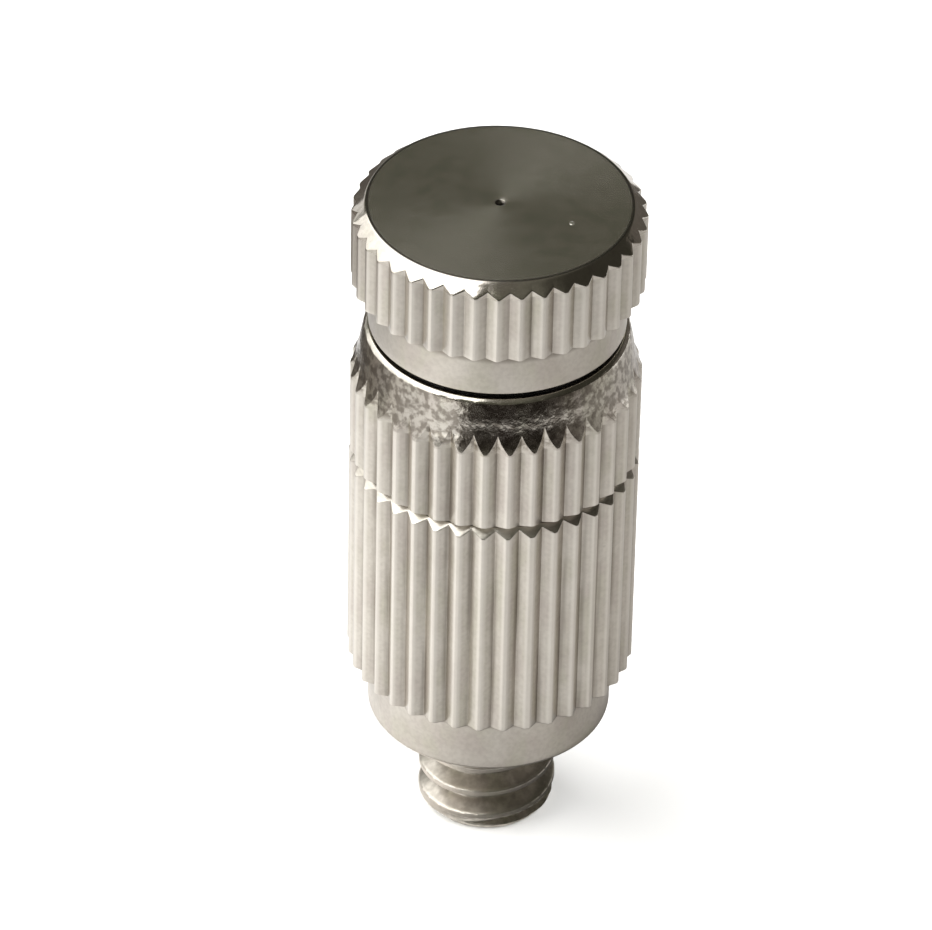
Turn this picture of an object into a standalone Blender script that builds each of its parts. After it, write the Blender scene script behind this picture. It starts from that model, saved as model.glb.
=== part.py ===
"""Anti-drip misting nozzle with a 10-24 inlet thread.

Frame: origin at the centre of the inlet end of the thread, +Z along the axis
towards the spray face, metres.
"""

import math

import bmesh
import bpy
from mathutils import Vector

MM = 0.001

# ---------------------------------------------------------------- heights (mm)
Z_SHOULDER = 4.50
Z_KNURL_LO = 6.83
Z_SEAM_FACE_LO = 15.53
Z_SEAM_FACE_HI = 15.58
Z_BEVEL = 18.85
Z_LIP = 20.78
Z_TIP = 20.96
Z_TIP_KNURL = 22.74
Z_TIP_CHAMFER = 25.31
Z_FACE = 25.73

# ------------------------------------------------------------------ radii (mm)
R_BLANK = 5.40
R_CREST = 5.00
R_BODY_VALLEY = 4.74
R_TIP_VALLEY = 4.80
R_BAND = 4.25
R_TIP_BAND = 4.40
R_FACE = 4.49
R_LIP = 4.50
R_RELIEF = 2.50
R_LEAD = 2.12

# -------------------------------------------------------------------- knurling
BODY_RIDGES = 37
TIP_RIDGES = 40
BODY_PHASE = math.radians(-93.8)
TIP_PHASE = math.radians(-90.0)
CREST_SHARE = 0.16

# --------------------------------------------------------------------- threads
INLET_PITCH = 25.4 / 24
INLET_MAJOR = 2.413
INLET_MINOR = 1.79
INLET_Z_ZERO = 1.71 + 0.25 * INLET_PITCH
JOINT_PITCH = 0.75
JOINT_MAJOR = 3.62
JOINT_MINOR = 3.22
JOINT_Z_ZERO = 12.00
TIP_PITCH = 0.75
TIP_MAJOR = 3.05
TIP_MINOR = 2.68
TIP_Z_ZERO = 18.00
FIT = 0.09
THREAD_SEGMENTS = 18

# ---------------------------------------------------------------- inner spaces
R_INLET_BORE = 1.10
R_FILTER_BORE = 2.60
R_VALVE_BORE = 2.10
R_SEAT_BORE = 2.45
R_PORT = 0.85
R_CORE_BORE = 1.40
Z_FILTER_FLOOR = 5.90
Z_FILTER_STEP = 10.95
Z_THREAD_RELIEF = 14.60
Z_SPIGOT = 11.70
Z_SEAT_TOP = 12.70
Z_WEB_LO = 16.20
Z_WEB_HI = 17.00
Z_TIP_SPIGOT = 17.40
Z_TIP_NECK = 19.95

# ---------------------------------------------------------------------- seals
BODY_SEAL_R = 3.77
BODY_SEAL_SECTION = 0.38
BODY_SEAL_Z = 15.05
TIP_SEAL_R = 3.32
TIP_SEAL_SECTION = 0.44
TIP_SEAL_Z = 20.46

STEPS = 36


for item in list(bpy.data.objects):
    bpy.data.objects.remove(item, do_unlink=True)

scene = bpy.context.scene
scene.unit_settings.system = "METRIC"
nozzle = bpy.data.collections.new("misting_nozzle")
cutters = bpy.data.collections.new("cutters")
scene.collection.children.link(nozzle)
scene.collection.children.link(cutters)


def material(name, colour, roughness, metallic):
    mat = bpy.data.materials.new(name)
    mat.use_nodes = True
    shader = mat.node_tree.nodes["Principled BSDF"]
    shader.inputs["Base Color"].default_value = (*colour, 1.0)
    shader.inputs["Roughness"].default_value = roughness
    shader.inputs["Metallic"].default_value = metallic
    return mat


NICKEL = material("nickel_plated_brass", (0.58, 0.55, 0.50), 0.32, 1.0)
STEEL = material("stainless_steel", (0.60, 0.60, 0.59), 0.28, 1.0)
RUBBER = material("black_rubber", (0.02, 0.02, 0.02), 0.60, 0.0)
ACETAL = material("white_acetal", (0.80, 0.79, 0.76), 0.45, 0.0)
MESH = material("woven_steel", (0.45, 0.45, 0.44), 0.45, 1.0)


def add(name, mesh, mat, collection=nozzle):
    obj = bpy.data.objects.new(name, mesh)
    collection.objects.link(obj)
    if mat is not None:
        mesh.materials.append(mat)
    return obj


def mesh_from(bm, name):
    mesh = bpy.data.meshes.new(name)
    bmesh.ops.recalc_face_normals(bm, faces=bm.faces)
    bm.to_mesh(mesh)
    bm.free()
    return mesh


def turned(name, profile, mat, steps=STEPS, collection=nozzle):
    """Closed solid turned about Z from an (r, z) outline in millimetres.

    An outline whose ends lie on the axis is solid there; an outline that
    returns to its first point is a ring.
    """
    bm = bmesh.new()
    points = [Vector((r * MM, 0.0, z * MM)) for r, z in profile]
    closed = (points[0] - points[-1]).length < 1e-9
    if closed:
        points.pop()
    verts = [bm.verts.new(p) for p in points]
    for a, b in zip(verts, verts[1:]):
        bm.edges.new((a, b))
    if closed:
        bm.edges.new((verts[-1], verts[0]))
    mesh = bpy.data.meshes.new(name)
    bm.to_mesh(mesh)
    bm.free()
    obj = add(name, mesh, mat, collection)
    screw = obj.modifiers.new("turn", "SCREW")
    screw.axis = "Z"
    screw.steps = steps
    screw.render_steps = steps
    screw.use_merge_vertices = True
    screw.merge_threshold = 1e-6
    return obj


def cutter(obj):
    obj.hide_render = True
    obj.display_type = "WIRE"
    for user in list(obj.users_collection):
        user.objects.unlink(obj)
    cutters.objects.link(obj)
    return obj


def combine(obj, tool, operation):
    modifier = obj.modifiers.new(tool.name, "BOOLEAN")
    modifier.operation = operation
    modifier.solver = "EXACT"
    modifier.object = cutter(tool)
    return modifier


def knurl_prism(name, ridges, crest, valley, phase, z_low, z_high):
    """Prism whose outline is a ring of V grooves with flattened crests."""
    bm = bmesh.new()
    outline = []
    pitch = 2.0 * math.pi / ridges
    half_crest = 0.5 * CREST_SHARE * pitch
    for i in range(ridges):
        middle = phase + i * pitch
        for radius, angle in (
            (crest, middle - half_crest),
            (crest, middle + half_crest),
            (valley, middle + 0.5 * pitch),
        ):
            x = radius * MM * math.cos(angle)
            y = radius * MM * math.sin(angle)
            outline.append(bm.verts.new((x, y, z_low * MM)))
    base = bm.faces.new(outline)
    moved = bmesh.ops.extrude_face_region(bm, geom=[base])["geom"]
    top = [v for v in moved if isinstance(v, bmesh.types.BMVert)]
    bmesh.ops.translate(bm, verts=top, vec=(0.0, 0.0, (z_high - z_low) * MM))
    return add(name, mesh_from(bm, name), None, cutters)


def thread_ridge(name, core, crest, pitch, z_zero, z_start, z_end, base_share, top_share,
                 taper=0.35):
    """Right-hand helical ridge with a trapezoidal section, its ends tapered.

    The middle of the crest passes height z_zero at angle 0. The section
    reaches a little below the core radius so that it joins the core, and its
    corners lie at the middles of the core's facets.
    """
    bm = bmesh.new()
    step = 2.0 * math.pi / THREAD_SEGMENTS
    first = round((z_start - z_zero) / pitch * THREAD_SEGMENTS)
    last = round((z_end - z_zero) / pitch * THREAD_SEGMENTS)
    count = last - first
    sections = []
    sunk = core - 0.06
    slope = (base_share - top_share) / (crest - core)
    for k in range(count + 1):
        angle = (first + k + 0.25) * step
        middle = z_zero + pitch * angle / (2.0 * math.pi)
        rise = min(1.0, k / (taper * THREAD_SEGMENTS), (count - k) / (taper * THREAD_SEGMENTS))
        top = core - 0.03 + (crest - core + 0.03) * rise
        ring = []
        for radius, side in ((sunk, -0.5), (top, -0.5), (top, 0.5), (sunk, 0.5)):
            half = side * (top_share + slope * (crest - radius)) * pitch
            x = radius * MM * math.cos(angle)
            y = radius * MM * math.sin(angle)
            ring.append(bm.verts.new((x, y, (middle + half) * MM)))
        sections.append(ring)
    for a, b in zip(sections, sections[1:]):
        for i in range(4):
            j = (i + 1) % 4
            bm.faces.new((a[i], a[j], b[j], b[i]))
    bm.faces.new(sections[0])
    bm.faces.new(list(reversed(sections[-1])))
    bmesh.ops.triangulate(bm, faces=bm.faces)
    return add(name, mesh_from(bm, name), None, cutters)


def o_ring(name, major, section, z):
    points = []
    for i in range(9):
        angle = -2.0 * math.pi * i / 8
        points.append((major + section * math.cos(angle), z + section * math.sin(angle)))
    points[-1] = points[0]
    return turned(name, points, RUBBER, steps=30)


def coil(name, radius, wire, z_low, z_high, turns, mat, phase=0.0, per_turn=12, flat=0.6):
    """Compression spring with closed ends, as a bevelled helical curve."""
    curve = bpy.data.curves.new(name, "CURVE")
    curve.dimensions = "3D"
    curve.bevel_depth = wire * 0.5 * MM
    curve.bevel_resolution = 1
    curve.use_fill_caps = True
    spline = curve.splines.new("POLY")
    count = int(turns * per_turn)
    spline.points.add(count)
    span = z_high - z_low - wire
    dead = flat * wire * 1.04
    for i in range(count + 1):
        turn = turns * i / count
        if turn < flat:
            height = dead * turn / flat
        elif turn > turns - flat:
            height = span - dead * (turns - turn) / flat
        else:
            height = dead + (span - 2.0 * dead) * (turn - flat) / (turns - 2.0 * flat)
        angle = phase + 2.0 * math.pi * turn
        point = (
            radius * MM * math.cos(angle),
            radius * MM * math.sin(angle),
            (z_low + 0.5 * wire + height) * MM,
            1.0,
        )
        spline.points[i].co = point
    obj = bpy.data.objects.new(name, curve)
    nozzle.objects.link(obj)
    curve.materials.append(mat)
    return obj


# ------------------------------------------------------------------ inlet body
inlet_body = turned(
    "inlet_body",
    [
        (4.60, Z_SEAM_FACE_LO),
        (R_BLANK, Z_SEAM_FACE_LO - (R_BLANK - 4.60) * 0.5),
        (R_BLANK, Z_KNURL_LO),
        (R_BAND, Z_KNURL_LO),
        (R_BAND, Z_SHOULDER + 0.22),
        (R_BAND - 0.07, Z_SHOULDER + 0.07),
        (R_BAND - 0.22, Z_SHOULDER),
        (R_RELIEF, Z_SHOULDER),
        (INLET_MINOR, Z_SHOULDER + 0.12),
        (INLET_MINOR, 0.52),
        (R_LEAD + 0.18, 0.27),
        (R_LEAD + 0.18, -0.05),
        (R_INLET_BORE, -0.05),
        (R_INLET_BORE, Z_FILTER_FLOOR - 0.60),
        (R_FILTER_BORE - 0.50, Z_FILTER_FLOOR - 0.60),
        (R_FILTER_BORE, Z_FILTER_FLOOR),
        (R_FILTER_BORE, Z_FILTER_STEP),
        (JOINT_MINOR + FIT, Z_FILTER_STEP),
        (JOINT_MINOR + FIT, Z_THREAD_RELIEF),
        (4.19, Z_THREAD_RELIEF),
        (4.19, Z_SEAM_FACE_LO),
        (4.60, Z_SEAM_FACE_LO),
    ],
    NICKEL,
)
inlet_thread = thread_ridge(
    "inlet_thread", INLET_MINOR, INLET_MAJOR, INLET_PITCH, INLET_Z_ZERO, -0.90,
    Z_SHOULDER + 0.10, 0.80, 0.17, taper=0.02,
)
combine(inlet_body, inlet_thread, "UNION")
inlet_envelope = turned(
    "inlet_envelope",
    [
        (0.0, 16.5),
        (6.0, 16.5),
        (6.0, Z_SHOULDER - 0.001),
        (2.60, Z_SHOULDER - 0.30),
        (2.60, 0.52),
        (R_LEAD, 0.16),
        (R_LEAD, 0.07),
        (R_LEAD - 0.07, 0.0),
        (0.0, 0.0),
    ],
    None,
)
inlet_envelope.rotation_euler.z = math.radians(3.7)
combine(inlet_body, inlet_envelope, "INTERSECT")
body_knurl = knurl_prism(
    "body_knurl", BODY_RIDGES, R_CREST, R_BODY_VALLEY, BODY_PHASE, -2.0, 30.0
)
combine(inlet_body, body_knurl, "INTERSECT")
joint_female = thread_ridge(
    "joint_female", JOINT_MINOR + FIT, JOINT_MAJOR + FIT, JOINT_PITCH, JOINT_Z_ZERO,
    Z_FILTER_STEP + 0.50, Z_THREAD_RELIEF + 0.50, 0.78, 0.24, taper=0.02,
)
combine(inlet_body, joint_female, "DIFFERENCE")

# ----------------------------------------------------------------- collar body
collar_body = turned(
    "collar_body",
    [
        (4.26, Z_LIP),
        (R_LIP, Z_LIP),
        (4.67, Z_LIP - 0.75),
        (4.80, Z_BEVEL + 0.45),
        (R_CREST, Z_BEVEL),
        (R_BLANK, Z_BEVEL - 0.75),
        (R_BLANK, Z_SEAM_FACE_HI + (R_BLANK - 4.60) * 0.5),
        (4.60, Z_SEAM_FACE_HI),
        (3.32, Z_SEAM_FACE_HI),
        (3.32, Z_THREAD_RELIEF + 0.06),
        (JOINT_MINOR, Z_THREAD_RELIEF - 0.04),
        (JOINT_MINOR, Z_SPIGOT),
        (R_SEAT_BORE, Z_SPIGOT),
        (R_SEAT_BORE, Z_SEAT_TOP),
        (R_VALVE_BORE, Z_SEAT_TOP),
        (R_VALVE_BORE, Z_WEB_LO),
        (R_PORT, Z_WEB_LO),
        (R_PORT, Z_WEB_HI),
        (TIP_MINOR + FIT, Z_WEB_HI),
        (TIP_MINOR + FIT, Z_TIP_NECK + 0.02),
        (3.80, Z_TIP_NECK + 0.02),
        (3.80, Z_LIP - 0.28),
        (4.26, Z_LIP),
    ],
    NICKEL,
)
collar_knurl = knurl_prism(
    "collar_knurl", BODY_RIDGES, R_CREST, R_BODY_VALLEY, BODY_PHASE, -2.0, 30.0
)
combine(collar_body, collar_knurl, "INTERSECT")
joint_male = thread_ridge(
    "joint_male", JOINT_MINOR, JOINT_MAJOR, JOINT_PITCH, JOINT_Z_ZERO, Z_SPIGOT + 0.40,
    Z_THREAD_RELIEF - 0.50, 0.66, 0.18,
)
combine(collar_body, joint_male, "UNION")
tip_female = thread_ridge(
    "tip_female", TIP_MINOR + FIT, TIP_MAJOR + FIT, TIP_PITCH, TIP_Z_ZERO, Z_WEB_HI + 0.50,
    Z_TIP_NECK + 0.50, 0.78, 0.24, taper=0.02,
)
combine(collar_body, tip_female, "DIFFERENCE")

# ------------------------------------------------------------------- spray tip
spray_tip = turned(
    "spray_tip",
    [
        (0.18, Z_FACE),
        (R_FACE, Z_FACE),
        (R_BLANK, Z_FACE - (R_BLANK - R_FACE) * (Z_FACE - Z_TIP_CHAMFER) / (R_CREST - R_FACE)),
        (R_BLANK, Z_TIP_KNURL),
        (R_TIP_BAND, Z_TIP_KNURL),
        (R_TIP_BAND, Z_TIP + 0.16),
        (R_TIP_BAND - 0.05, Z_TIP + 0.05),
        (R_TIP_BAND - 0.16, Z_TIP),
        (2.84, Z_TIP),
        (2.84, Z_TIP_NECK + 0.12),
        (TIP_MINOR, Z_TIP_NECK),
        (TIP_MINOR, Z_TIP_SPIGOT),
        (1.45, Z_TIP_SPIGOT),
        (1.45, Z_TIP_SPIGOT + 0.20),
        (1.74, Z_TIP_SPIGOT + 0.20),
        (1.74, Z_TIP_SPIGOT + 0.80),
        (R_CORE_BORE, Z_TIP_SPIGOT + 0.80),
        (R_CORE_BORE, 25.05),
        (0.11, 25.05),
        (0.11, Z_FACE - 0.10),
        (0.18, Z_FACE),
    ],
    NICKEL,
)
tip_knurl = knurl_prism("tip_knurl", TIP_RIDGES, R_CREST, R_TIP_VALLEY, TIP_PHASE, -2.0, 30.0)
combine(spray_tip, tip_knurl, "INTERSECT")
tip_male = thread_ridge(
    "tip_male", TIP_MINOR, TIP_MAJOR, TIP_PITCH, TIP_Z_ZERO, Z_TIP_SPIGOT + 0.40,
    Z_TIP_NECK - 0.50, 0.66, 0.18,
)
combine(spray_tip, tip_male, "UNION")

# ------------------------------------------------------------ inside the tip
turned(
    "orifice_insert",
    [
        (0.09, 25.00),
        (R_CORE_BORE - 0.03, 25.00),
        (R_CORE_BORE - 0.03, 24.06),
        (1.05, 24.06),
        (0.09, 24.80),
        (0.09, 25.00),
    ],
    STEEL,
    steps=24,
)

CORE_LOW = 18.25
CORE_HIGH = 23.70
swirl_core = turned(
    "swirl_core",
    [
        (0.0, CORE_HIGH),
        (1.05, CORE_HIGH),
        (1.34, CORE_HIGH - 0.29),
        (1.34, CORE_LOW),
        (0.0, CORE_LOW),
    ],
    STEEL,
    steps=24,
)


def helical_slot(name, phase):
    """Cutter for one helical water slot along the swirl core."""
    bm = bmesh.new()
    count = 16
    sections = []
    for k in range(count + 1):
        share = k / count
        height = CORE_LOW - 0.4 + (CORE_HIGH - CORE_LOW + 0.8) * share
        angle = phase + math.radians(150.0) * share
        ring = []
        for radius, side in ((0.80, -0.28), (1.60, -0.28), (1.60, 0.28), (0.80, 0.28)):
            x = radius * math.cos(angle) - side * math.sin(angle)
            y = radius * math.sin(angle) + side * math.cos(angle)
            ring.append(bm.verts.new((x * MM, y * MM, height * MM)))
        sections.append(ring)
    for a, b in zip(sections, sections[1:]):
        for i in range(4):
            j = (i + 1) % 4
            bm.faces.new((a[i], a[j], b[j], b[i]))
    bm.faces.new(sections[0])
    bm.faces.new(list(reversed(sections[-1])))
    bmesh.ops.triangulate(bm, faces=bm.faces)
    return add(name, mesh_from(bm, name), None, cutters)


for index in range(2):
    combine(swirl_core, helical_slot("core_slot_%d" % index, math.pi * index), "DIFFERENCE")

clip = bpy.data.curves.new("core_clip", "CURVE")
clip.dimensions = "3D"
clip.bevel_depth = 0.25 * MM
clip.bevel_resolution = 1
clip.use_fill_caps = True
clip_spline = clip.splines.new("POLY")
clip_spline.points.add(24)
for index in range(25):
    angle = math.radians(30.0 + 300.0 * index / 24)
    clip_spline.points[index].co = (
        1.44 * MM * math.cos(angle),
        1.44 * MM * math.sin(angle),
        (Z_TIP_SPIGOT + 0.50) * MM,
        1.0,
    )
core_clip = bpy.data.objects.new("core_clip", clip)
nozzle.objects.link(core_clip)
clip.materials.append(STEEL)

# ----------------------------------------------------------------------- seals
o_ring("tip_seal", TIP_SEAL_R, TIP_SEAL_SECTION, TIP_SEAL_Z)
o_ring("body_seal", BODY_SEAL_R, BODY_SEAL_SECTION, BODY_SEAL_Z)

# ------------------------------------------------------------- anti-drip valve
turned(
    "valve_seat",
    [
        (0.75, 12.86),
        (0.95, 12.86),
        (1.15, Z_SEAT_TOP - 0.04),
        (R_SEAT_BORE - 0.03, Z_SEAT_TOP - 0.04),
        (R_SEAT_BORE - 0.03, Z_SPIGOT + 0.05),
        (0.75, Z_SPIGOT + 0.05),
        (0.75, 12.86),
    ],
    STEEL,
    steps=24,
)
turned(
    "valve_pad",
    [(0.0, 13.30), (1.35, 13.30), (1.35, 12.90), (0.0, 12.90)],
    RUBBER,
    steps=24,
)
valve_plug = turned(
    "valve_plug",
    [
        (0.0, 14.80),
        (0.45, 14.80),
        (0.62, 14.60),
        (0.62, 13.95),
        (1.75, 13.95),
        (1.75, 13.20),
        (1.38, 13.20),
        (1.38, 13.33),
        (0.0, 13.33),
    ],
    STEEL,
    steps=24,
)
coil("valve_spring", 1.02, 0.26, 13.98, 16.17, 4.2, STEEL)

# -------------------------------------------------------------------- strainer
filter_cage = turned(
    "filter_cage",
    [
        (0.0, 6.60),
        (1.32, 6.60),
        (1.32, 11.20),
        (1.55, 11.55),
        (3.05, 11.55),
        (3.05, 11.00),
        (1.90, 11.00),
        (1.90, 10.80),
        (1.68, 10.80),
        (1.68, 6.75),
        (1.90, 6.75),
        (1.90, 6.30),
        (1.50, 6.10),
        (0.0, 6.10),
    ],
    ACETAL,
    steps=24,
)
for index in range(2):
    window = bmesh.new()
    bmesh.ops.create_cube(window, size=1.0)
    bmesh.ops.scale(window, vec=(6.0 * MM, 1.5 * MM, 3.6 * MM), verts=window.verts)
    bmesh.ops.translate(window, vec=(0.0, 0.0, 8.75 * MM), verts=window.verts)
    slot = add("cage_window_%d" % index, mesh_from(window, "cage_window_%d" % index), None, cutters)
    slot.rotation_euler.z = math.pi * 0.5 * index
    combine(filter_cage, slot, "DIFFERENCE")
turned(
    "filter_screen",
    [(1.71, 10.77), (1.86, 10.77), (1.86, 6.78), (1.71, 6.78), (1.71, 10.77)],
    MESH,
    steps=24,
)

for obj in nozzle.objects:
    if obj.type == "MESH":
        obj.data.shade_smooth()
        obj.data.set_sharp_from_angle(angle=math.radians(35.0))
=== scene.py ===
"""Looks for the anti-drip misting nozzle: fine meshes, procedural metals, floor, light and camera."""

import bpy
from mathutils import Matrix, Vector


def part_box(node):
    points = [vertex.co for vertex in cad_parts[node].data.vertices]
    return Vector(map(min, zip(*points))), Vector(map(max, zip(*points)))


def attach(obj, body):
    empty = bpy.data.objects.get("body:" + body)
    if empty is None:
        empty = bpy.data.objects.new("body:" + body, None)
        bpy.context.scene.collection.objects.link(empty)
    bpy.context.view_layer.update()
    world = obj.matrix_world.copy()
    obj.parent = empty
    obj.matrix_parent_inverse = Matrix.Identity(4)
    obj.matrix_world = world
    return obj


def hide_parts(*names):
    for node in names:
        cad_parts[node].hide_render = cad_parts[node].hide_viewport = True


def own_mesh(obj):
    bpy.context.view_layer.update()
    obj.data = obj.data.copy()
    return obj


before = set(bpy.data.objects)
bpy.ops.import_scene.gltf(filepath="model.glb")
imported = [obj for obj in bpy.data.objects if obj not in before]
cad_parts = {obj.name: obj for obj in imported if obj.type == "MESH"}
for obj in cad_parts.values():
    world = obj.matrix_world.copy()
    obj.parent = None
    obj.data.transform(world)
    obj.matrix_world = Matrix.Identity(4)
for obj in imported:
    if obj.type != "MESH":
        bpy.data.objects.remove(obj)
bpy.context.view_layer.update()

import math

import bpy
import numpy as np
from mathutils import Matrix, Vector

MM = 0.001
TAU = 2.0 * math.pi

# Heights and radii in millimetres, in the frame of the CAD parts.
Z_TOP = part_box("spray_tip")[1].z / MM
Z_SHOULDER = 4.50
Z_KNURL = 6.83
Z_FACE_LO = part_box("inlet_body")[1].z / MM
Z_FACE_HI = Z_FACE_LO + 0.05
Z_BEVEL = 18.85
Z_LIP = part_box("collar_body")[1].z / MM
Z_TIP = 20.96
Z_TIP_KNURL = 22.74
R_CREST = 5.00
R_VALLEY = 4.74
R_TIP_VALLEY = 4.80
R_BAND = 4.25
R_TIP_BAND = 4.40
R_FACE = 4.49
R_LIP = 4.50
R_STUB = 2.413
BODY_RIDGES = 37
TIP_RIDGES = 40
BODY_PHASE = math.radians(-93.8)
TIP_PHASE = math.radians(-90.0)
R_BODY_CHAMFER = 4.66       # where the chamfer of the inlet's knurl meets its flat end
R_COLLAR_CHAMFER = 4.60
TIP_CHAMFER_SLOPE = 0.42 / 0.51

# Threads: pitch, the height where the helix starts, depth, and the share of the pitch that the
# thread form takes at its foot and at its crest.
INLET_PITCH = 25.4 / 24
INLET_START = 1.84 + 0.25 * INLET_PITCH
FINE_PITCH = 0.75
BODY_THREAD_START, BODY_THREAD_DEPTH = 12.00, 0.40
TIP_THREAD_START, TIP_THREAD_DEPTH = 18.00, 0.37
INLET_FORM = (0.80, 0.18)
MALE_FORM = (0.66, 0.18)
FEMALE_FORM = (0.78, 0.24)
THREAD_RUN = 0.35           # share of a pitch over which a thread fades in and out
SHARP_EDGE = math.radians(42.0)


# ------------------------------------------------------------------- meshes
def smooth(x):
    """Eases from 0 to 1."""
    x = np.clip(x, 0.0, 1.0)
    return x * x * (3.0 - 2.0 * x)


def soft_min(a, b, k):
    """The smaller of two values, rounded over a width of k where they cross."""
    h = np.clip(0.5 + 0.5 * (b - a) / k, 0.0, 1.0)
    return b * (1.0 - h) + a * h - k * h * (1.0 - h)


def ridge_angles(count, phase):
    """Column angles, closer together at the edges of each ridge and in each groove."""
    share = np.array([-0.50, -0.475, -0.44, -0.35, -0.22, -0.115, -0.085, -0.058, -0.03,
                      0.03, 0.058, 0.085, 0.115, 0.22, 0.35, 0.44, 0.475])
    steps = np.arange(count)[:, None] + share[None, :]
    return phase + steps.ravel() * TAU / count


def ridge_radius(angles, count, phase, crest, valley, seed):
    """Radius of a straight-knurled surface: V grooves with slightly flattened crests."""
    rng = np.random.default_rng(seed)
    lift = rng.normal(0.0, 0.008, count)
    flat = 0.066 + rng.normal(0.0, 0.016, count)
    drop = rng.normal(0.0, 0.012, count)
    place = (angles - phase) / (TAU / count)
    nearest = np.floor(place + 0.5).astype(int)
    offset = place - nearest
    own = nearest % count
    groove = np.where(offset >= 0.0, own, (own - 1) % count)
    half = np.clip(flat[own], 0.035, 0.11)
    x = (np.abs(offset) - half) / (0.5 - half)
    # soft shoulder at the crest edge and a small radius in the groove
    rise = 0.5 * (x + np.sqrt(x * x + 0.0012))
    shape = soft_min(rise, np.ones_like(rise) * 0.99, 0.04)
    top = crest + np.minimum(lift[own], 0.0)
    bottom = valley + drop[groove]
    return top - (top - bottom) * shape


def contour(corners, columns):
    """Stations of a closed outline, one set per column.

    Each corner is (r, z, rounding, arc steps, steps to the next corner, zone); r and z may change
    from column to column. The zone is the name of the thread on the way to the next corner, and
    is left out where there is none.
    """
    count = len(corners)
    points = np.zeros((count, columns, 2))
    for k, corner in enumerate(corners):
        points[k, :, 0] = corner[0]
        points[k, :, 1] = corner[1]
    before = np.roll(points, 1, axis=0) - points
    after = np.roll(points, -1, axis=0) - points
    len_before = np.linalg.norm(before, axis=2)
    len_after = np.linalg.norm(after, axis=2)
    starts, ends = [], []
    for k, corner in enumerate(corners):
        reach = np.minimum(corner[2], 0.45 * np.minimum(len_before[k], len_after[k]))[:, None]
        starts.append(points[k] + before[k] / len_before[k][:, None] * reach)
        ends.append(points[k] + after[k] / len_after[k][:, None] * reach)
    rows, zones = [], []
    for k, corner in enumerate(corners):
        arc = corner[3]
        for i in range(arc + 1) if arc else (0,):
            t = i / arc if arc else 0.0
            if arc:
                row = (1 - t) ** 2 * starts[k] + 2 * t * (1 - t) * points[k] + t * t * ends[k]
            else:
                row = points[k].copy()
            rows.append(row)
            zones.append(None)
        first = ends[k] if arc else points[k]
        following = (k + 1) % count
        last = starts[following] if corners[following][3] else points[following]
        for i in range(1, corner[4]):
            t = i / corner[4]
            rows.append(first + (last - first) * t)
            zones.append(corner[5] if len(corner) > 5 else None)
    # a corner inside a zone belongs to it
    for k in range(1, len(zones) - 1):
        if zones[k] is None and zones[k - 1] == zones[k + 1]:
            zones[k] = zones[k - 1]
    return np.array(rows), zones


def ring_mesh(name, rows, angles):
    """Closed ring-shaped mesh from outline stations at each column angle, in millimetres."""
    count, columns, _ = rows.shape
    verts = np.empty((count, columns, 3))
    verts[:, :, 0] = rows[:, :, 0] * np.cos(angles)
    verts[:, :, 1] = rows[:, :, 0] * np.sin(angles)
    verts[:, :, 2] = rows[:, :, 1]
    verts = verts.reshape(-1, 3) * MM
    i = np.arange(count)[:, None]
    j = np.arange(columns)[None, :]
    below = (i + 1) % count
    beside = (j + 1) % columns
    quads = np.stack([
        i * columns + j, below * columns + j, below * columns + beside, i * columns + beside,
    ], axis=-1).reshape(-1, 4)
    mesh = bpy.data.meshes.new(name)
    mesh.vertices.add(len(verts))
    mesh.vertices.foreach_set("co", verts.ravel())
    mesh.loops.add(quads.size)
    mesh.loops.foreach_set("vertex_index", quads.ravel())
    mesh.polygons.add(len(quads))
    mesh.polygons.foreach_set("loop_start", np.arange(len(quads)) * 4)
    mesh.update(calc_edges=True)
    mesh.validate()
    mesh.shade_smooth()
    mesh.set_sharp_from_angle(angle=SHARP_EDGE)
    obj = bpy.data.objects.new(name, mesh)
    bpy.context.scene.collection.objects.link(obj)
    return obj


def thread(rows, zones, zone, angles, pitch, start, depth, form, low, high):
    """Adds a right-hand thread, from low to high, to the radius of the stations of a zone.

    On a bore the added radius is the groove, so a female thread is made the same way.
    """
    foot, crest = form
    run = THREAD_RUN * pitch
    for k, name in enumerate(zones):
        if name != zone:
            continue
        z = rows[k, :, 1]
        place = (z - start) / pitch - angles / TAU
        offset = np.abs(place - np.floor(place + 0.5))
        x = (0.5 * foot - offset) / (0.5 * (foot - crest))
        rise = np.maximum(0.5 * (x + np.sqrt(x * x + 0.004)), 0.0)
        fade = smooth((z - low) / run) * smooth((high - z) / run)
        rows[k, :, 0] += depth * soft_min(rise, np.ones_like(x), 0.08) * fade


def open_groove(rows, zones, zone):
    """Lets a female thread run out through the face at its upper end."""
    last = max(k for k, name in enumerate(zones) if name == zone)
    for step in (1, 2, 3):
        widened = rows[last, :, 0] + 0.01 * step
        rows[last + step, :, 0] = np.maximum(rows[last + step, :, 0], widened)


# Bevel of the collar: convex near the knurl, steep towards the lip.
BEVEL_Z = np.array([Z_BEVEL - 1.2, Z_BEVEL, 19.02, 19.30, 19.66, 20.03, 20.45, Z_LIP])
BEVEL_R = np.array([5.55, 5.00, 4.905, 4.800, 4.722, 4.665, 4.580, R_LIP])


def bevel_curve():
    """Densely sampled smooth curve along the bevel's points."""
    reach = 35
    z = np.linspace(BEVEL_Z[0], BEVEL_Z[-1], 600)
    r = np.interp(z, BEVEL_Z, BEVEL_R)
    kernel = np.hanning(2 * reach + 1)
    kernel /= kernel.sum()
    padded = np.concatenate([2 * r[0] - r[reach:0:-1], r, 2 * r[-1] - r[-2:-reach - 2:-1]])
    return z, np.convolve(padded, kernel, mode="valid")


BEVEL_CURVE_Z, BEVEL_CURVE_R = bevel_curve()


def bevel_r(z):
    """Radius of the bevel at a height."""
    return np.interp(z, BEVEL_CURVE_Z, BEVEL_CURVE_R)


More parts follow.
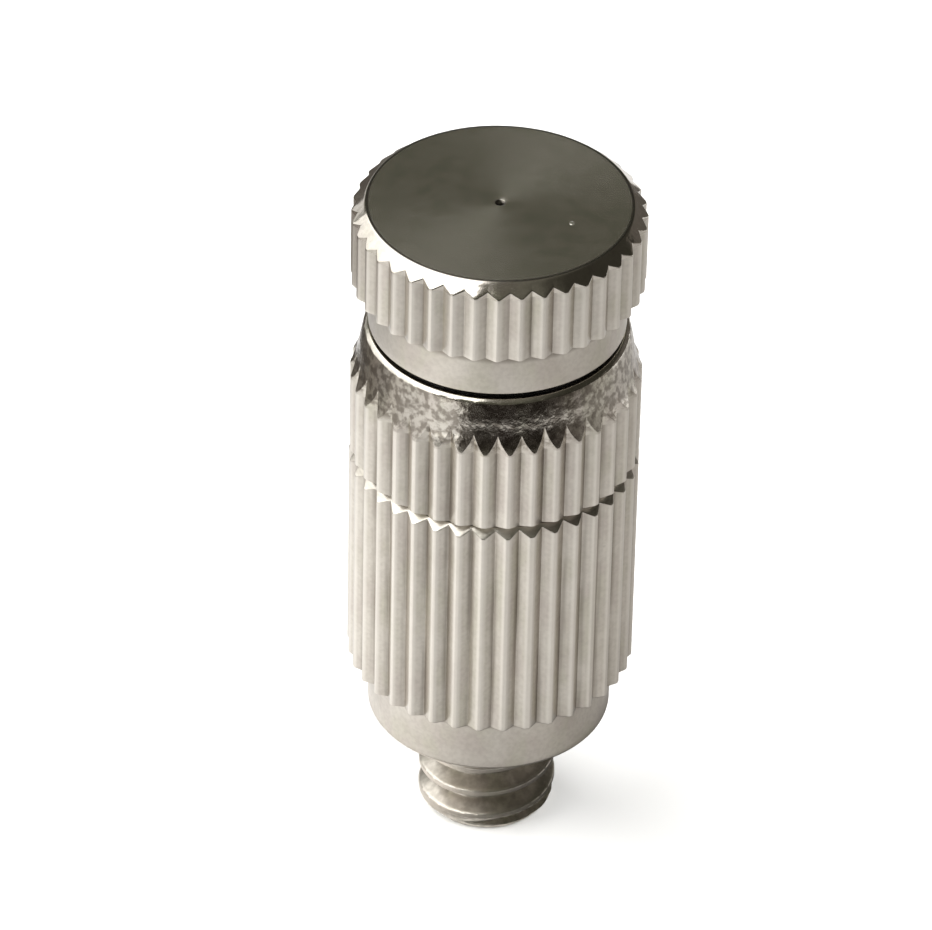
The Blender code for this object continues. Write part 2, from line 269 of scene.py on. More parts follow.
def bevel_z(r):
    """Height of the bevel at a radius."""
    return np.interp(-r, -BEVEL_CURVE_R, BEVEL_CURVE_Z)


def make_collar():
    """Knurled collar: bevelled top, spigot below, valve chamber and the tip's thread inside."""
    angles = ridge_angles(BODY_RIDGES, BODY_PHASE)
    n = len(angles)
    ridge = ridge_radius(angles, BODY_RIDGES, BODY_PHASE, R_CREST, R_VALLEY, 11)
    meet = bevel_z(ridge)
    # the turned lip
    corners = [
        (4.27, Z_LIP, 0.04, 3, 1),
        (4.40, Z_LIP, 0.03, 3, 2),
        (4.505, Z_LIP - 0.087, 0.03, 3, 1),
    ]
    # down the bevel to where each ridge and groove meets it
    for share in np.linspace(0.08, 0.97, 18):
        z = Z_LIP + (meet - Z_LIP) * share
        corners.append((bevel_r(z), z, 0.0, 0, 1))
    corners += [
        (ridge, meet, 0.035, 4, 14),
        (ridge, Z_FACE_HI + (ridge - R_COLLAR_CHAMFER) * 0.35, 0.03, 3, 3),
        (R_COLLAR_CHAMFER, Z_FACE_HI, 0.03, 2, 3),
        # O-ring seat and threaded spigot
        (3.32, Z_FACE_HI, 0.0, 0, 3),
        (3.32, 14.66, 0.02, 1, 1),
        (3.22, 14.56, 0.0, 0, 72, "male"),
        (3.22, 11.70, 0.10, 2, 3),
        # up the bore: valve seat pocket, valve chamber, passage
        (2.45, 11.70, 0.04, 1, 2),
        (2.45, 12.70, 0.0, 0, 1),
        (2.10, 12.70, 0.0, 0, 4),
        (2.10, 16.20, 0.05, 1, 3),
        (0.85, 16.20, 0.05, 1, 2),
        (0.85, 17.00, 0.05, 1, 3),
        # thread for the tip, and the counterbore that holds its O-ring
        (2.77, 17.00, 0.05, 1, 76, "female"),
        (2.77, 19.97, 0.0, 0, 2),
        (3.80, 19.97, 0.02, 1, 3),
        (3.80, Z_LIP - 0.28, 0.03, 2, 2),
    ]
    rows, zones = contour(corners, n)
    thread(rows, zones, "male", angles, FINE_PITCH, BODY_THREAD_START, BODY_THREAD_DEPTH,
           MALE_FORM, 11.80, 14.30)
    thread(rows, zones, "female", angles, FINE_PITCH, TIP_THREAD_START, TIP_THREAD_DEPTH,
           FEMALE_FORM, 17.05, 20.60)
    open_groove(rows, zones, "female")
    return ring_mesh("collar", rows, angles)


def make_inlet():
    """Knurled lower body with the threaded inlet stub, the filter bore and the collar's thread."""
    angles = ridge_angles(BODY_RIDGES, BODY_PHASE)
    n = len(angles)
    ridge = ridge_radius(angles, BODY_RIDGES, BODY_PHASE, R_CREST, R_VALLEY, 12)
    corners = [
        (4.19, Z_FACE_LO, 0.03, 2, 2),
        (R_BODY_CHAMFER, Z_FACE_LO, 0.02, 2, 3),
        (ridge, Z_FACE_LO - (ridge - R_BODY_CHAMFER) * 0.82, 0.02, 3, 40),
        (ridge, Z_KNURL, 0.05, 4, 3),
        (R_BAND, Z_KNURL, 0.03, 2, 10),
        (R_BAND, Z_SHOULDER, 0.13, 6, 5),
        # the stub
        (2.50, Z_SHOULDER, 0.0, 0, 2),
        (1.79, Z_SHOULDER + 0.12, 0.08, 3, 112, "inlet"),
        (1.79, 0.52, 0.0, 0, 10, "inlet"),
        (2.30, 0.27, 0.0, 0, 2),
        (2.30, 0.16, 0.0, 0, 4),
        (2.12, 0.0, 0.0, 0, 4),
        # up the bore: inlet passage, filter chamber, thread for the collar, O-ring counterbore
        (1.10, 0.0, 0.06, 2, 4),
        (1.10, 5.30, 0.0, 0, 3),
        (2.10, 5.30, 0.0, 0, 2),
        (2.60, 5.90, 0.0, 0, 4),
        (2.60, 10.95, 0.03, 1, 2),
        (3.31, 10.95, 0.0, 0, 80, "female"),
        (3.31, 14.60, 0.03, 1, 2),
        (4.19, 14.60, 0.0, 0, 3),
    ]
    rows, zones = contour(corners, n)
    thread(rows, zones, "inlet", angles, INLET_PITCH, INLET_START, 0.623, INLET_FORM, -2.0, 9.0)
    # the end of the stub is turned down to a short chamfered lead
    for row in rows:
        r, z = row[:, 0], row[:, 1]
        if z.max() < 1.0 and r.min() > 1.5:
            limit = np.minimum(2.12 + 1.33 * np.maximum(z - 0.16, 0.0), 2.05 + z)
            row[:, 0] = np.minimum(r, np.minimum(limit, R_STUB))
    thread(rows, zones, "female", angles, FINE_PITCH, BODY_THREAD_START, BODY_THREAD_DEPTH,
           FEMALE_FORM, 11.05, 15.40)
    open_groove(rows, zones, "female")
    return ring_mesh("inlet", rows, angles)


def make_tip():
    """Spray tip: turned face with its hole, knurl, threaded spigot and the core's bore."""
    angles = ridge_angles(TIP_RIDGES, TIP_PHASE)
    n = len(angles)
    ridge = ridge_radius(angles, TIP_RIDGES, TIP_PHASE, R_CREST, R_TIP_VALLEY, 13)
    corners = [
        (0.17, Z_TOP, 0.02, 2, 26),
        (R_FACE + 0.03, Z_TOP, 0.05, 5, 5),
        (ridge, Z_TOP - (ridge - R_FACE) * TIP_CHAMFER_SLOPE, 0.030, 4, 16),
        (ridge, Z_TIP_KNURL, 0.05, 4, 3),
        (R_TIP_BAND, Z_TIP_KNURL, 0.03, 2, 8),
        (R_TIP_BAND, Z_TIP, 0.08, 5, 4),
        # O-ring seat and threaded spigot
        (2.84, Z_TIP, 0.03, 1, 3),
        (2.84, 20.07, 0.02, 1, 1),
        (2.68, 19.95, 0.0, 0, 66, "male"),
        (2.68, 17.40, 0.10, 2, 3),
        # up the bore: the clip's groove, the core's bore, the spray hole
        (1.45, 17.40, 0.04, 1, 2),
        (1.45, 17.60, 0.0, 0, 2),
        (1.74, 17.60, 0.0, 0, 2),
        (1.74, 18.20, 0.0, 0, 2),
        (1.40, 18.20, 0.0, 0, 6),
        (1.40, 25.05, 0.0, 0, 3),
        (0.10, 25.05, 0.0, 0, 3),
        (0.10, Z_TOP - 0.11, 0.0, 0, 2),
    ]
    rows, zones = contour(corners, n)
    thread(rows, zones, "male", angles, FINE_PITCH, TIP_THREAD_START, TIP_THREAD_DEPTH,
           MALE_FORM, 17.50, 19.70)
    return ring_mesh("tip", rows, angles)


def make_ring(name, major, section, z):
    """Rubber O-ring, section in radius, with a faint moulding line round its outside."""
    angles = np.linspace(0.0, TAU, 160, endpoint=False)
    turn = np.linspace(0.0, TAU, 40, endpoint=False)
    from_outside = (turn + math.pi) % TAU - math.pi
    swell = section + 0.006 * np.exp(-(from_outside / 0.10) ** 2)
    rows = np.zeros((len(turn), len(angles), 2))
    rows[:, :, 0] = (major + swell * np.cos(-turn))[:, None]
    rows[:, :, 1] = (z + swell * np.sin(-turn))[:, None]
    return ring_mesh(name, rows, angles)


def make_spring(radius, wire, z_low, z_high, turns):
    """Compression spring of round wire with closed ends."""
    closed = 0.6
    steps = int(turns * 60)
    around = 16
    span = z_high - z_low - wire
    dead = closed * wire * 1.04
    turn = np.linspace(0.0, turns, steps + 1)
    height = np.interp(turn, [0.0, closed, turns - closed, turns], [0.0, dead, span - dead, span])
    side = np.linspace(0.0, TAU, around, endpoint=False)
    verts, faces = [], []
    for t, z in zip(turn, height):
        for a in side:
            r = radius + 0.5 * wire * math.cos(a)
            verts.append((r * math.cos(TAU * t) * MM, r * math.sin(TAU * t) * MM,
                          (z_low + 0.5 * wire + z + 0.5 * wire * math.sin(a)) * MM))
    for i in range(steps):
        for k in range(around):
            a, b = i * around + k, i * around + (k + 1) % around
            faces.append((a, b, b + around, a + around))
    faces.append(tuple(range(around - 1, -1, -1)))
    faces.append(tuple(steps * around + k for k in range(around)))
    mesh = bpy.data.meshes.new("spring")
    mesh.from_pydata(verts, [], faces)
    mesh.update()
    mesh.shade_smooth()
    obj = bpy.data.objects.new("spring", mesh)
    bpy.context.scene.collection.objects.link(obj)
    return obj


# ---------------------------------------------------------------- materials
class Nodes:
    """Short hand for building a node tree."""

    def __init__(self, tree, space="Object"):
        self.tree = tree
        self.place = self.add("ShaderNodeTexCoord").outputs[space]

    def add(self, kind, **settings):
        node = self.tree.nodes.new(kind)
        for key, value in settings.items():
            setattr(node, key, value)
        return node

    def link(self, source, target):
        self.tree.links.new(source, target)

    def feed(self, node, values):
        """Links or sets the node's inputs, by name or number; a colour has three values."""
        for name, value in values.items():
            socket = node.inputs[name]
            if isinstance(value, bpy.types.NodeSocket):
                self.link(value, socket)
            elif socket.type == "RGBA":
                socket.default_value = (*value, 1.0)
            else:
                socket.default_value = value

    def maths(self, operation, a, b=0.0):
        node = self.add("ShaderNodeMath", operation=operation)
        self.feed(node, {0: a, 1: b})
        return node.outputs[0]

    def times(self, product, *factors):
        for factor in factors:
            product = self.maths("MULTIPLY", product, factor)
        return product

    def ramp(self, value, low, high, out_low=0.0, out_high=1.0):
        node = self.add("ShaderNodeMapRange", interpolation_type="SMOOTHSTEP")
        self.feed(node, {"Value": value, "From Min": low, "From Max": high,
                         "To Min": out_low, "To Max": out_high})
        return node.outputs["Result"]

    def rise(self, value, low, high, most=1.0):
        """Nothing up to low and most from high on, both in millimetres."""
        return self.ramp(value, low * MM, high * MM, 0.0, most)

    def fall(self, value, low, high, most=1.0):
        """Most up to low and nothing from high on, both in millimetres."""
        return self.ramp(value, low * MM, high * MM, most, 0.0)

    def noise(self, scale, detail=3.0, roughness=0.55, stretch=None):
        source = self.place
        if stretch is not None:
            mapping = self.add("ShaderNodeMapping")
            self.feed(mapping, {"Vector": source, "Scale": stretch})
            source = mapping.outputs["Vector"]
        node = self.add("ShaderNodeTexNoise")
        self.feed(node, {"Vector": source, "Scale": scale, "Detail": detail, "Roughness": roughness})
        return node.outputs["Fac"]

    def mix(self, factor, a, b):
        node = self.add("ShaderNodeMix", data_type="RGBA")
        self.feed(node, {"Factor": factor, 6: a, 7: b})
        return node.outputs[2]

    def split(self):
        """The coordinates x, y and z."""
        node = self.add("ShaderNodeSeparateXYZ")
        self.link(self.place, node.inputs[0])
        return node.outputs

    def near(self, point, inner, outer, most):
        """Most within inner of a point and nothing beyond outer, all in millimetres."""
        away = self.add("ShaderNodeVectorMath", operation="DISTANCE")
        self.feed(away, {0: self.place, 1: tuple(v * MM for v in point)})
        return self.fall(away.outputs["Value"], inner, outer, most)


class Finish(Nodes):
    """A material, built up as colour, roughness and normal."""

    def __init__(self, name):
        self.mat = bpy.data.materials.new(name)
        self.mat.use_nodes = True
        super().__init__(self.mat.node_tree)
        self.shader = self.tree.nodes["Principled BSDF"]
        self.colour = self.roughness = self.normal = None

    def tint(self, share, colour):
        self.colour = self.mix(share, self.colour, colour)

    def roughen(self, change):
        self.roughness = self.maths("ADD", self.roughness, change)

    def emboss(self, height, microns, strength=1.0):
        """Raises the surface by a height of that many micrometres."""
        node = self.add("ShaderNodeBump")
        self.feed(node, {"Height": height, "Distance": microns * 0.001 * MM, "Strength": strength})
        if self.normal is not None:
            self.link(self.normal, node.inputs["Normal"])
        self.normal = node.outputs["Normal"]

    def done(self, metallic=0.0):
        """Feeds the shader and gives the material."""
        self.feed(self.shader, {"Base Color": self.colour, "Roughness": self.roughness,
                                "Metallic": metallic})
        if self.normal is not None:
            self.link(self.normal, self.shader.inputs["Normal"])
        return self.mat


NICKEL_LIGHT = (0.62, 0.585, 0.525)
NICKEL_BRIGHT = (0.80, 0.765, 0.70)
NICKEL_WARM = (0.57, 0.525, 0.475)
NICKEL_OLIVE = (0.56, 0.535, 0.455)
NICKEL_DARK = (0.20, 0.175, 0.145)
NICKEL_FACE = (0.49, 0.472, 0.402)
NICKEL_BLACK = (0.05, 0.045, 0.037)
NICKEL_NICK = (0.95, 0.93, 0.88)
# Cycles denoises metal rougher than about 0.274 in another way than smoother metal. Each area
# stays on one side of that, or its pattern shows hard outlines.
NICKEL_ROUGH = 0.295
FACE_ROUGH = (0.235, 0.263)
NICK = (2.42, -1.10)
R_SPRAY_HOLE = (0.165, 0.195)


def nickel(name, knurl_top, bevel=None, face=None, ledge=None, stub=None, speck=None):
    """Satin nickel plate: soft grain, warm and olive clouds, painted shade in the knurl's grooves and
    a painted highlight on its crests.

    knurl_top is the height where the grooves end; bevel is the height where a polished, dented
    bevel starts; face is the height of a turned face; ledge is the height of the knurl's lower
    end; stub is the height that the shaded, duller thread reaches; speck is the place of a small dark
    pit.
    """
    n = Finish(name)
    x, y, height = n.split()
    radius = n.maths("SQRT", n.maths("ADD", n.times(x, x), n.times(y, y)))
    cloud = n.noise(700.0, 3.0)
    warmth = n.noise(1300.0, 2.0, stretch=(1.0, 1.0, 0.35))
    grain = n.noise(6500.0, 1.0, 0.5)
    streak = n.noise(4800.0, 2.0, 0.5, stretch=(1.0, 1.0, 0.05))
    n.colour = n.mix(n.ramp(warmth, 0.38, 0.64), NICKEL_WARM, NICKEL_OLIVE)
    n.colour = n.mix(n.ramp(cloud, 0.36, 0.66), NICKEL_LIGHT, n.colour)
    n.tint(n.ramp(grain, 0.30, 0.75, 0.0, 0.14), NICKEL_DARK)
    n.roughness = n.ramp(cloud, 0.25, 0.75, NICKEL_ROUGH, NICKEL_ROUGH + 0.04)
    n.roughen(n.times(n.maths("SUBTRACT", grain, 0.5), 0.02))

    # painted shade in the grooves of the knurl, and a painted highlight on its crests
    knurled = n.fall(height, knurl_top - 0.05, knurl_top)
    outside = n.times(n.rise(radius, 4.60, 4.66), knurled)
    n.tint(n.times(n.fall(radius, 4.76, 4.88), outside, n.ramp(streak, 0.30, 0.72, 0.15, 0.70)),
           NICKEL_DARK)
    n.tint(n.times(n.rise(radius, 4.90, 4.975, 0.60), knurled), NICKEL_BRIGHT)

    # a turned face has rings instead of the streaks and the grain
    cast = 1.0 if face is None else n.fall(height, face - 0.05, face - 0.01)
    n.emboss(cloud, 10.0, 0.4)
    n.emboss(n.times(streak, cast), 4.0, 0.6)
    n.emboss(n.times(grain, cast), 2.5, 0.7)

    if ledge is not None:
        shade_ledge(n, radius, height, ledge)
    if stub is not None:
        shade_and_dull_stub(n, radius, height, stub)
    if bevel is not None:
        polish_bevel(n, radius, height, bevel)
    if face is not None:
        turn_face(n, radius, height, face)
    if speck is not None:
        n.tint(n.near(speck, 0.06, 0.14, 0.85), NICKEL_BLACK)
    return n.done(metallic=1.0)


def shade_ledge(n, radius, height, ledge):
    """Painted shade just under the knurl's lower end."""
    under = n.times(n.rise(height, ledge - 0.55, ledge - 0.33),
                    n.fall(height, ledge + 0.01, ledge + 0.04))
    n.tint(n.times(under, n.fall(radius, 4.46, 4.56, 0.65)), NICKEL_DARK)


def shade_and_dull_stub(n, radius, height, stub):
    """Painted shade of the body above on the roots and flanks of the inlet's thread, mottled like a
    stain, which is also duller; and painted shade close to the shoulder.
    """
    shaded_and_dull = n.times(n.fall(height, stub - 0.05, stub + 0.05), n.fall(radius, 2.28, 2.36))
    # painted shade on the thread's roots and flanks, broken up by a stain-like mottle
    n.tint(n.times(shaded_and_dull, n.ramp(n.noise(3400.0, 2.0, 0.5), 0.32, 0.68, 0.04, 0.40)), NICKEL_DARK)
    # painted shade close to the shoulder
    n.tint(n.times(shaded_and_dull, n.rise(height, stub - 0.75, stub - 0.15, 0.75)), NICKEL_BLACK)
    n.roughen(n.times(shaded_and_dull, 0.05))


def polish_bevel(n, radius, height, bevel):
    """Smoother and dented, with painted dark blotches of reflection, up to the clean turned lip."""
    smoother = n.times(n.rise(height, bevel - 0.05, bevel + 0.25), n.rise(radius, 4.00, 4.10))
    n.roughen(n.times(smoother, -0.15))
    dents_and_painted_blotches = n.times(smoother, n.fall(height, Z_LIP - 0.14, Z_LIP - 0.09))
    n.emboss(n.times(n.noise(3600.0, 2.0, 0.55), dents_and_painted_blotches), 14.0)
    # painted dark blotches that stand in for the bevel's mottled reflection
    n.tint(n.times(dents_and_painted_blotches, n.ramp(n.noise(4000.0, 2.0, 0.5), 0.38, 0.62, 0.0, 0.80)), NICKEL_DARK)


def turn_face(n, radius, height, face):
    """Fine turned rings, soft patches, a dark rim, painted shade in the spray hole, and a polished
    edge.
    """
    top = n.rise(height, face - 0.02, face - 0.004)
    disc = n.times(top, n.fall(radius, 4.40, 4.50))
    edge = n.times(n.rise(height, face - 0.50, face - 0.40), n.rise(radius, 4.46, 4.52))
    n.roughen(n.times(edge, -0.19))
    patches = n.noise(1500.0, 1.0, 0.5)
    n.tint(disc, n.mix(n.ramp(patches, 0.22, 0.78), NICKEL_LIGHT, NICKEL_FACE))
    n.roughness = n.mix(disc, n.roughness, n.ramp(patches, 0.25, 0.75, *FACE_ROUGH))
    rim = n.times(top, n.times(n.rise(radius, 4.40, 4.46), n.fall(radius, 4.51, 4.55)))
    n.tint(n.times(rim, 0.80), NICKEL_BLACK)
    # a small bright nick
    nick = n.near((*NICK, face), 0.055, 0.135, 0.95)
    n.tint(nick, NICKEL_NICK)
    n.emboss(nick, 14.0)
    # painted shade in the spray hole
    n.tint(n.times(n.fall(radius, *R_SPRAY_HOLE), 0.78), NICKEL_BLACK)
    # the turned rings: an anisotropic sheen and a shallow relief
    tangent = n.add("ShaderNodeTangent", direction_type="RADIAL", axis="Z")
    n.feed(n.shader, {"Anisotropic": n.times(disc, 0.50), "Anisotropic Rotation": 0.25,
                      "Tangent": tangent.outputs[0]})
    rings = n.add("ShaderNodeTexWave", wave_type="RINGS", rings_direction="Z", wave_profile="SIN")
    n.feed(rings, {"Vector": n.place, "Scale": 1700.0, "Distortion": 0.3,
                   "Detail": 0.0, "Detail Scale": 0.5})
    n.emboss(n.times(rings.outputs["Fac"], disc), 1.0, 0.6)


def steel(name):
    """Machined stainless steel with fine turning marks."""
    n = Finish(name)
    marks = n.noise(6000.0, 2.0, 0.5, stretch=(0.08, 0.08, 1.0))
    n.colour = n.mix(n.ramp(marks, 0.3, 0.7), (0.62, 0.62, 0.61), (0.52, 0.52, 0.51))
    n.roughness = n.ramp(marks, 0.2, 0.8, 0.20, 0.34)
    n.emboss(marks, 2.0, 0.6)
    return n.done(metallic=1.0)


def rubber(name):
    """Black moulded rubber, slightly dusty."""
    n = Finish(name)
    dust = n.noise(2200.0, 4.0, 0.6)
    n.colour = n.mix(n.ramp(dust, 0.45, 0.8), (0.012, 0.012, 0.012), (0.045, 0.044, 0.042))
    n.roughness = n.ramp(dust, 0.2, 0.8, 0.42, 0.62)
    n.emboss(n.noise(14000.0, 2.0), 2.0, 0.5)
    return n.done()


def acetal(name):
    """White moulded acetal."""
    n = Finish(name)
    tone = n.noise(1500.0, 3.0)
    n.colour = n.mix(n.ramp(tone, 0.3, 0.7), (0.80, 0.79, 0.75), (0.74, 0.73, 0.69))
    n.roughness = n.ramp(tone, 0.2, 0.8, 0.38, 0.50)
    n.emboss(n.noise(9000.0, 2.0), 2.0, 0.5)
    return n.done()


def woven(name):
    """Fine woven steel screen: wires up and down crossing wires round the sleeve."""
    wires, pitch = 90.0, 0.12 * MM
    n = Finish(name)
    x, y, height = n.split()
    warp = n.maths("SINE", n.times(n.maths("ARCTAN2", y, x), wires))
    weft = n.maths("SINE", n.times(height, TAU / pitch))
    weave = n.maths("MAXIMUM", warp, weft)
    n.colour = n.mix(n.ramp(weave, -0.2, 0.5), (0.03, 0.03, 0.03), (0.55, 0.55, 0.54))
    n.roughness = 0.38
    n.emboss(weave, 10.0, 0.8)
    return n.done(metallic=1.0)


def finish_piece(obj, material, body, node):
    """Gives a piece its material and its body, and hides the CAD node that it stands for."""
    obj.data.materials.append(material)
    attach(obj, body)
    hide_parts(node)
    return obj


finish_piece(make_inlet(),
             nickel("nickel_inlet", Z_FACE_LO - 0.1, ledge=Z_KNURL, stub=Z_SHOULDER,
                    speck=(3.86, -3.12, 13.53)),
             "inlet", "inlet_body")
finish_piece(make_collar(),
             nickel("nickel_collar", Z_BEVEL - 0.05, bevel=Z_BEVEL),
             "collar", "collar_body")
finish_piece(make_tip(),
             nickel("nickel_tip", Z_TOP - 0.45, face=Z_TOP, ledge=Z_TIP_KNURL),
             "tip", "spray_tip")

RUBBER = rubber("rubber")
finish_piece(make_ring("tip_ring", 3.32, 0.435, 20.46), RUBBER, "tip_ring", "tip_seal")
finish_piece(make_ring("joint_ring", 3.77, 0.375, 15.05), RUBBER,
             "joint_ring", "body_seal")

STEEL = steel("stainless")
# the valve spring, with its ends and the valve's travel
SPRING_LOW, SPRING_HIGH, VALVE_TRAVEL = 13.98, 16.17, 0.60
spring = finish_piece(make_spring(1.02, 0.26, SPRING_LOW, SPRING_HIGH, 4.2), STEEL,
                      "collar", "valve_spring")
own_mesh(spring)
# the CAD nodes inside keep their shape and get a finish
inner = {
    "orifice_insert": STEEL, "swirl_core": STEEL, "core_clip": STEEL, "valve_seat": STEEL,
    "valve_plug": STEEL, "valve_pad": RUBBER,
    "filter_cage": acetal("acetal"), "filter_screen": woven("woven_screen"),
}
for node, material in inner.items():
    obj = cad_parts[node]
    if not obj.material_slots:
        obj.data.materials.append(material)
    for slot in obj.material_slots:
        slot.material = material


# ------------------------------------------------------------ floor and light
def make_floor(side, colour):
    """Plain matt floor with a very slight mottle."""
    half = side / 2
    mesh = bpy.data.meshes.new("floor")
    mesh.from_pydata([(-half, -half, 0), (half, -half, 0), (half, half, 0), (-half, half, 0)],
                     [], [(0, 1, 2, 3)])
    obj = bpy.data.objects.new("floor", mesh)
    n = Finish("floor_paint")
    n.colour = n.mix(n.noise(40.0, 2.0), colour, tuple(c * 0.985 for c in colour))
    n.roughness = 0.9
    n.feed(n.shader, {"Specular IOR Level": 0.1})
    mesh.materials.append(n.done())
    bpy.context.scene.collection.objects.link(obj)


make_floor(1.6, (0.84, 0.84, 0.835))


def area_light(name, location, size, power, colour=(1.0, 1.0, 1.0)):
    """Soft light on the object; polished metal mirrors the cards below instead of it."""
    data = bpy.data.lights.new(name, "AREA")
    data.shape = "RECTANGLE"
    data.size, data.size_y = size
    data.energy = power
    data.color = colour
    obj = bpy.data.objects.new(name, data)
    obj.location = location
    obj.rotation_euler = (CENTRE - location).to_track_quat("-Z", "Y").to_euler()
    obj.visible_camera = False
    obj.visible_glossy = False
    bpy.context.scene.collection.objects.link(obj)


CENTRE = Vector((0.0, 0.0, 0.013))
WINDOW = Vector((-2.38, 0.30, 1.80))
WINDOW_SIZE = (4.8, 3.8)
area_light("window", WINDOW, WINDOW_SIZE, 270.0, (1.0, 0.995, 0.98))
# the fill only lightens the floor's shadow
area_light("fill", Vector((1.7, -1.3, 2.3)), (3.6, 3.6), 150.0)


def glow_mesh(name, verts, faces, tones):
    """Glowing card that only reflections see; tones holds a colour for each point."""
    mesh = bpy.data.meshes.new(name)
    mesh.from_pydata(verts, [], faces)
    tint = mesh.color_attributes.new("tone", "FLOAT_COLOR", "POINT")
    tint.data.foreach_set("color", np.array(tones, dtype=float).ravel())
    obj = bpy.data.objects.new(name, mesh)
    bpy.context.scene.collection.objects.link(obj)
    mat = bpy.data.materials.new(name)
    mat.use_nodes = True
    nodes = mat.node_tree.nodes
    nodes.remove(nodes["Principled BSDF"])
    shade = nodes.new("ShaderNodeVertexColor")
    shade.layer_name = "tone"
    glow = nodes.new("ShaderNodeEmission")
    mat.node_tree.links.new(shade.outputs["Color"], glow.inputs["Color"])
    mat.node_tree.links.new(glow.outputs[0], nodes["Material Output"].inputs["Surface"])
    mesh.materials.append(mat)
    obj.visible_camera = False
    obj.visible_diffuse = False
    obj.visible_shadow = False


FLOOR_GLOW = 1.25
CARD_STEP = 4.0     # degrees


def grey(value, warm):
    return (value, value * (1.0 - warm), value * (1.0 - 2.0 * warm))


def card(name, rings, stops):
    """Card round the object, seen only in reflections.

    rings holds (radius, height, share, gain) from the inside out, in metres; stops holds
    (azimuth, brightness, warmth), azimuth in degrees from the front towards +X. A ring's tone is
    mixed by share with the floor's own, then multiplied by gain.
    """
    azimuths = [stop[0] for stop in stops]
    channels = list(zip(*(grey(value, warm) for _, value, warm in stops)))
    first, last = azimuths[0], azimuths[-1]
    steps = int((last - first) / CARD_STEP)
    verts, faces, tones = [], [], []
    for i in range(steps + 1):
        azimuth = first + (last - first) * i / steps
        tone = [float(np.interp(azimuth, azimuths, channel)) for channel in channels]
        angle = math.radians(azimuth)
        for radius, z, share, gain in rings:
            verts.append((radius * math.sin(angle), -radius * math.cos(angle), z))
            tones.append([(FLOOR_GLOW + (t - FLOOR_GLOW) * share) * gain for t in tone] + [1.0])
    width = len(rings)
    for i in range(steps):
        for k in range(width - 1):
            a = i * width + k
            faces.append((a, a + width, a + width + 1, a + 1))
    glow_mesh(name, verts, faces, tones)


# on the floor, seen only in reflections: painted floor shadow, darker to the front and right and
# round the foot, and a painted brighter floor towards the window
card("floor_card",
     [(0.0080, 0.00030, 1.0, 0.86), (0.0120, 0.00030, 1.0, 0.90), (0.0160, 0.00030, 1.0, 1.0),
      (0.0450, 0.00030, 0.9, 0.90), (0.0850, 0.00030, 0.3, 1.0), (0.1200, 0.00030, 0.0, 1.0)],
     [(-180.0, 0.95, 0.01), (-165.0, 1.02, 0.01), (-148.0, 1.13, 0.01), (-120.0, 1.16, 0.01),
      (-85.0, 1.50, 0.01), (-50.0, 1.32, 0.02), (-25.0, 1.04, 0.02), (-6.0, 0.87, 0.02),
      (15.0, 0.83, 0.02), (40.0, 0.77, 0.03), (75.0, 0.60, 0.04), (110.0, 0.56, 0.04),
      (150.0, 0.67, 0.03), (180.0, 0.95, 0.01)])
card("band_card",
     [(0.0098, 0.00050, 1.0, 1.0), (0.0136, 0.00050, 1.0, 1.0)],
     [(50.0, 0.62, 0.03), (70.0, 0.46, 0.04), (115.0, 0.46, 0.04), (140.0, 0.58, 0.04)])
card("foot_card",
     [(0.0025, 0.00030, 1.0, 0.6), (0.0056, 0.00030, 1.0, 1.0), (0.0061, 0.00030, 1.0, 0.10),
      (0.0070, 0.00030, 1.0, 0.10), (0.0075, 0.00030, 1.0, 1.0), (0.0080, 0.00030, 1.0, 1.0)],
     [(-180.0, 0.80, 0.05), (-120.0, 1.85, 0.05), (-60.0, 1.70, 0.05), (-30.0, 0.85, 0.05),
      (0.0, 0.36, 0.05), (40.0, 0.17, 0.05), (120.0, 0.08, 0.05), (160.0, 0.15, 0.05),
      (180.0, 0.80, 0.05)])
# standing round the object
card("front_card",
     [(0.055, 0.0006, 1.0, 1.0), (0.125, 0.0450, 1.0, 1.0)],
     [(-26.0, 0.20, 0.10), (-16.0, 0.035, 0.15), (36.0, 0.035, 0.15), (60.0, 0.16, 0.10),
      (80.0, 0.40, 0.05), (96.0, 0.60, 0.05)])
card("left_card",
     [(0.031, 0.0010, 1.0, 1.0), (0.060, 0.0070, 1.0, 1.0), (0.120, 0.0300, 1.0, 1.0)],
     [(-180.0, 0.30, 0.05), (-160.0, 0.12, 0.10), (-130.0, 0.16, 0.10), (-110.0, 0.28, 0.10),
      (-94.0, 0.42, 0.05), (-84.0, 0.75, 0.05), (-70.0, 0.95, 0.02), (-46.0, 1.15, 0.02)])
card("right_card",
     [(0.110, 0.0185, 1.0, 1.0), (0.150, 0.0800, 1.0, 1.0)],
     [(96.0, 0.16, 0.10), (136.0, 0.14, 0.10)])
card("back_card",
     [(0.110, 0.0040, 1.0, 1.0), (0.150, 0.0800, 1.0, 1.0)],
     [(136.0, 0.14, 0.10), (176.0, 0.12, 0.10)])

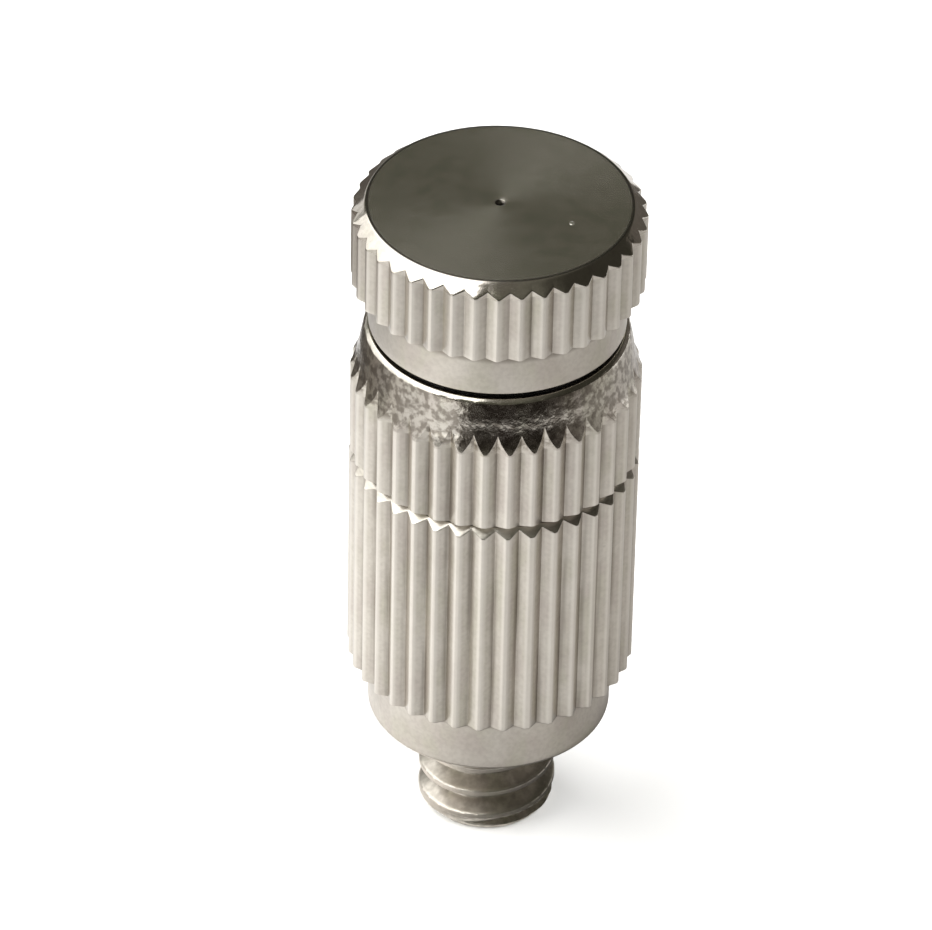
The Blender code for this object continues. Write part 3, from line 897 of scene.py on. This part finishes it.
# What polished metal mirrors of the window: dimmer low down, and going on above the light
# as far as the chamfer mirrors it. Each pane edge is a height up the window and a brightness.
facing = (CENTRE - WINDOW).normalized()
up = (Vector((0.0, 0.0, 1.0)) - facing * facing.z).normalized()
along = up.cross(-facing)
half_window = WINDOW_SIZE[0] / 2
panes = [(-1.9, 1.50), (-0.6, 1.75), (0.1, 2.5), (1.9, 3.4), (3.50, 3.2)]
glow_mesh("window_glow",
          [tuple(WINDOW + along * x + up * y) for y, _ in panes for x in (-half_window, half_window)],
          [(2 * k, 2 * k + 1, 2 * k + 3, 2 * k + 2) for k in range(len(panes) - 1)],
          [(glow, glow * 0.995, glow * 0.975, 1.0) for _, glow in panes for _ in range(2)])

# The room: white at the horizon, dark above it, a little lighter overhead than behind, and
# darkest to the right.
world = bpy.data.worlds.new("studio")
bpy.context.scene.world = world
world.use_nodes = True
room = Nodes(world.node_tree, "Generated")
to_right, _, upward = room.split()
above = room.mix(room.ramp(upward, 0.70, 0.92), (0.118, 0.116, 0.092), (0.180, 0.172, 0.145))
aside = room.mix(room.ramp(to_right, 0.20, 0.65), above, (0.045, 0.042, 0.033))
horizon = room.mix(room.ramp(upward, 0.10, 0.22), (1.0, 0.99, 0.98), aside)
room.feed(room.tree.nodes["Background"], {"Color": horizon, "Strength": 1.0})

scene = bpy.context.scene
scene.view_settings.view_transform = "Standard"
scene.view_settings.look = "None"

# ------------------------------------------------------------------- camera
ELEVATION = math.radians(37.52)
ROLL = math.radians(1.22)
TARGET = Vector((-0.000960, 0.0, 0.014600))
LENS = 284.9
DISTANCE = 0.25416
back = Vector((0.0, -math.cos(ELEVATION), math.sin(ELEVATION)))
camera_data = bpy.data.cameras.new("camera")
camera_data.lens = LENS
camera_data.sensor_width = 36.0
camera_data.clip_start = 0.01
camera_data.clip_end = 10.0
camera = bpy.data.objects.new("camera", camera_data)
scene.collection.objects.link(camera)
camera.location = TARGET + back * DISTANCE
aim = (-back).to_track_quat("-Z", "Y").to_matrix().to_4x4()
camera.rotation_euler = (aim @ Matrix.Rotation(ROLL, 4, "Z")).to_euler()
scene.camera = camera
